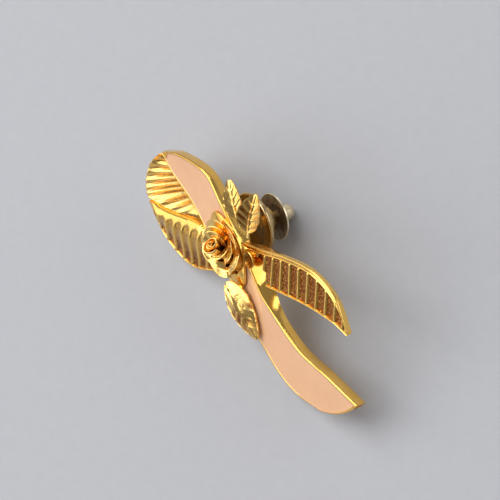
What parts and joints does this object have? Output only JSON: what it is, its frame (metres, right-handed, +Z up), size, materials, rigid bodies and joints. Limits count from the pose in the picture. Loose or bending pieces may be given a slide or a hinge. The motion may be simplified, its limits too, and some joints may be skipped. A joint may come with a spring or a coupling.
{
  "type": "ribbon lapel pin",
  "caption": "Gold looped-ribbon lapel pin with pink enamel on one band, ribs on the other, a rose with leaves at the crossing and a ball-lock clutch on its post.",
  "frame": {"origin": "centre of the bounding box, on the surface the pin lies on", "axes": "+Z up; -X towards the ribbon's loop, +X towards its tails; the pin leans back on its clutch, so its front faces up and towards -Y"},
  "size_m": [0.0436, 0.015, 0.0139],
  "materials": {
    "gold_plate": "polished gold plate over cast metal, darkened in the recesses",
    "pink_enamel": "glossy soft enamel, level just below the rim",
    "clutch_plate": "duller gold wash",
    "spring_steel": "bright steel"
  },
  "bodies": {
    "badge": {"bud_cup": "gold_plate", "enamel_loop": "pink_enamel", "enamel_tail": "pink_enamel", "leaf_lower": "gold_plate", "leaf_side": "gold_plate", "leaf_upper": "gold_plate", "post": "gold_plate", "post_pad": "gold_plate", "ribbon_enamelled_band": "gold_plate", "ribbon_loop_fold": "gold_plate", "ribbon_ribbed_band": "gold_plate", "rose_heart": "gold_plate", "rose_petal_inner_1": "gold_plate", "rose_petal_inner_2": "gold_plate", "rose_petal_middle_1": "gold_plate", "rose_petal_middle_2": "gold_plate", "rose_petal_middle_3": "gold_plate", "rose_petal_outer_1": "gold_plate", "rose_petal_outer_2": "gold_plate", "rose_petal_outer_3": "gold_plate", "rose_petal_outer_4": "gold_plate", "rose_petal_outer_5": "gold_plate", "rose_plate": "gold_plate"},
    "grip": {"clutch_cone_seat": "clutch_plate"},
    "clutch_shell": {"clutch_front_disc": "clutch_plate", "clutch_barrel": "clutch_plate", "clutch_spring": "spring_steel"},
    "plunger": {"pull_cap": "clutch_plate", "ball_cage": "clutch_plate"},
    "ball_1": {"ball_1": "spring_steel"},
    "ball_2": {"ball_2": "spring_steel"},
    "ball_3": {"ball_3": "spring_steel"}
  },
  "joints": [
    {"name": "clutch_slide", "type": "slide", "parent": "badge", "child": "grip", "axis": [0.0109, 0.6684, -0.7437], "range_m": [0, 0.0065]},
    {"name": "clutch_spin", "type": "hinge", "parent": "grip", "child": "clutch_shell", "pos_m": [-0.00593, 0.0027, 0.00466], "axis": [0.0109, 0.6684, -0.7437], "continuous": true},
    {"name": "release_pull", "type": "slide", "parent": "clutch_shell", "child": "plunger", "axis": [0.0109, 0.6684, -0.7437], "range_m": [0, 0.00035], "stiffness_N_per_m": 300, "springref_m": -0.001, "deforming": ["clutch_spring"]},
    {"name": "ball_1_out", "type": "slide", "parent": "plunger", "child": "ball_1", "axis": [-0.9999, 0, -0.0147], "range_m": [0, 0.0001415]},
    {"name": "ball_2_out", "type": "slide", "parent": "plunger", "child": "ball_2", "axis": [0.5084, -0.6442, -0.5714], "range_m": [0, 0.0001415]},
    {"name": "ball_3_out", "type": "slide", "parent": "plunger", "child": "ball_3", "axis": [0.4915, 0.6442, 0.5861], "range_m": [0, 0.0001415]}
  ],
  "couplings": [
    {"joint": "ball_1_out", "follows": "release_pull", "ratio": 0.40403},
    {"joint": "ball_2_out", "follows": "release_pull", "ratio": 0.40403},
    {"joint": "ball_3_out", "follows": "release_pull", "ratio": 0.40403}
  ]
}
